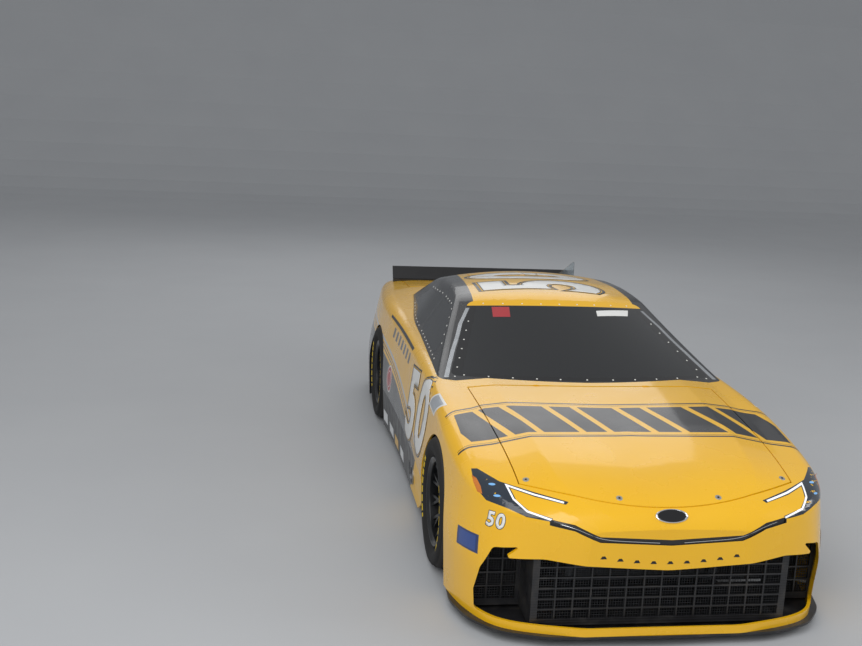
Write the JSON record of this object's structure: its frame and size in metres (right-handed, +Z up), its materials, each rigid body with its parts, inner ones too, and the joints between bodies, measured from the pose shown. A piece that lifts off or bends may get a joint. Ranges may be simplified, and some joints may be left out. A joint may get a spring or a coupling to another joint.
{
  "type": "stock race car",
  "caption": "Closed-wheel stock race car with composite body panels over a tube frame, steered front wheels, opening hood, decklid and roof flaps.",
  "frame": {"origin": "on the ground under the middle of the car", "axes": "+Z up, the nose points to -Y, the left side of the car is +X"},
  "size_m": [1.9896, 4.9103, 1.2814],
  "materials": {
    "body_paint": "gloss",
    "roof_paint": "gloss",
    "dark_composite": "satin",
    "frame_paint": "satin",
    "sheet_metal": "satin",
    "glass": "gloss",
    "clear_plastic": "gloss",
    "tyre": "matte",
    "rim": "satin",
    "steel": "satin",
    "disc": "satin",
    "seat": "matte",
    "net": "matte",
    "grip": "matte"
  },
  "bodies": {
    "chassis": {"cabin_tub": "sheet_metal", "cowl": "body_paint", "dampers": "steel", "dashboard": "dark_composite", "door_left": "body_paint", "door_right": "body_paint", "engine": "sheet_metal", "exhaust_outlets": "steel", "fender_left": "body_paint", "fender_right": "body_paint", "front_clip": "frame_paint", "front_splitter": "dark_composite", "fuel_cell": "dark_composite", "fuel_filler": "steel", "lower_grille": "dark_composite", "nose": "body_paint", "quarter_left": "body_paint", "quarter_right": "body_paint", "radiator": "sheet_metal", "rear_clip": "frame_paint", "rear_diffuser": "dark_composite", "rear_fascia": "body_paint", "rear_knuckles": "steel", "rear_window": "glass", "roll_cage": "frame_paint", "roof": "roof_paint", "roof_fin": "clear_plastic", "seat": "seat", "side_skirts": "dark_composite", "side_windows": "glass", "transaxle": "sheet_metal", "underfloor": "dark_composite", "wheel_liners": "dark_composite", "window_net": "net", "windshield": "glass", "wishbones": "steel"},
    "hood": {"hood": "body_paint"},
    "decklid": {"decklid": "body_paint", "spoiler": "dark_composite"},
    "flap_left": {"roof_flap_left": "body_paint"},
    "flap_right": {"roof_flap_right": "body_paint"},
    "steer_knuckle_left": {"knuckle_front_left": "steel"},
    "steer_knuckle_right": {"knuckle_front_right": "steel"},
    "rack": {"steering_rack": "steel"},
    "steering_column": {"steering_wheel": "grip"},
    "wheel_front_left": {"tyre_front_left": "tyre", "rim_front_left": "rim", "brake_disc_front_left": "disc"},
    "wheel_front_right": {"tyre_front_right": "tyre", "rim_front_right": "rim", "brake_disc_front_right": "disc"},
    "wheel_rear_left": {"tyre_rear_left": "tyre", "rim_rear_left": "rim", "brake_disc_rear_left": "disc"},
    "wheel_rear_right": {"tyre_rear_right": "tyre", "rim_rear_right": "rim", "brake_disc_rear_right": "disc"}
  },
  "joints": [
    {"name": "steer_left", "type": "hinge", "parent": "chassis", "child": "steer_knuckle_left", "pos_m": [0.74, -1.426, 0.355], "axis": [0, 0, 1], "range_deg": [-18, 18]},
    {"name": "steer_right", "type": "hinge", "parent": "chassis", "child": "steer_knuckle_right", "pos_m": [-0.74, -1.426, 0.355], "axis": [0, 0, 1], "range_deg": [-19, 19]},
    {"name": "rack_slide", "type": "slide", "parent": "chassis", "child": "rack", "axis": [1, 0, 0], "range_m": [-0.04, 0.04]},
    {"name": "steering_wheel_turn", "type": "hinge", "parent": "chassis", "child": "steering_column", "pos_m": [0.37, -0.4, 0.72], "axis": [0, 0.9397, 0.342], "range_deg": [-220, 220]},
    {"name": "hood_hinge", "type": "hinge", "parent": "chassis", "child": "hood", "pos_m": [0, -1.01, 0.88498], "axis": [-1, 0, 0], "range_deg": [0, 50]},
    {"name": "decklid_hinge", "type": "hinge", "parent": "chassis", "child": "decklid", "pos_m": [0, 1.8, 0.95236], "axis": [1, 0, 0], "range_deg": [0, 50]},
    {"name": "roof_flap_left_hinge", "type": "hinge", "parent": "chassis", "child": "flap_left", "pos_m": [0.24, 0.572, 1.25736], "axis": [0.9978, 0, -0.0664], "range_deg": [0, 50]},
    {"name": "roof_flap_right_hinge", "type": "hinge", "parent": "chassis", "child": "flap_right", "pos_m": [-0.24, 0.572, 1.25736], "axis": [0.9978, 0, 0.0664], "range_deg": [0, 50]},
    {"name": "wheel_front_left_spin", "type": "hinge", "parent": "steer_knuckle_left", "child": "wheel_front_left", "pos_m": [0.812, -1.426, 0.355], "axis": [1, 0, 0], "continuous": true},
    {"name": "wheel_front_right_spin", "type": "hinge", "parent": "steer_knuckle_right", "child": "wheel_front_right", "pos_m": [-0.812, -1.426, 0.355], "axis": [1, 0, 0], "continuous": true},
    {"name": "wheel_rear_left_spin", "type": "hinge", "parent": "chassis", "child": "wheel_rear_left", "pos_m": [0.812, 1.368, 0.355], "axis": [1, 0, 0], "continuous": true},
    {"name": "wheel_rear_right_spin", "type": "hinge", "parent": "chassis", "child": "wheel_rear_right", "pos_m": [-0.812, 1.368, 0.355], "axis": [1, 0, 0], "continuous": true}
  ],
  "couplings": [
    {"joint": "steer_right", "follows": "steer_left", "ratio": 1},
    {"joint": "rack_slide", "follows": "steer_left", "m_per_rad": 0.12},
    {"joint": "steering_wheel_turn", "follows": "steer_left", "ratio": 12}
  ]
}
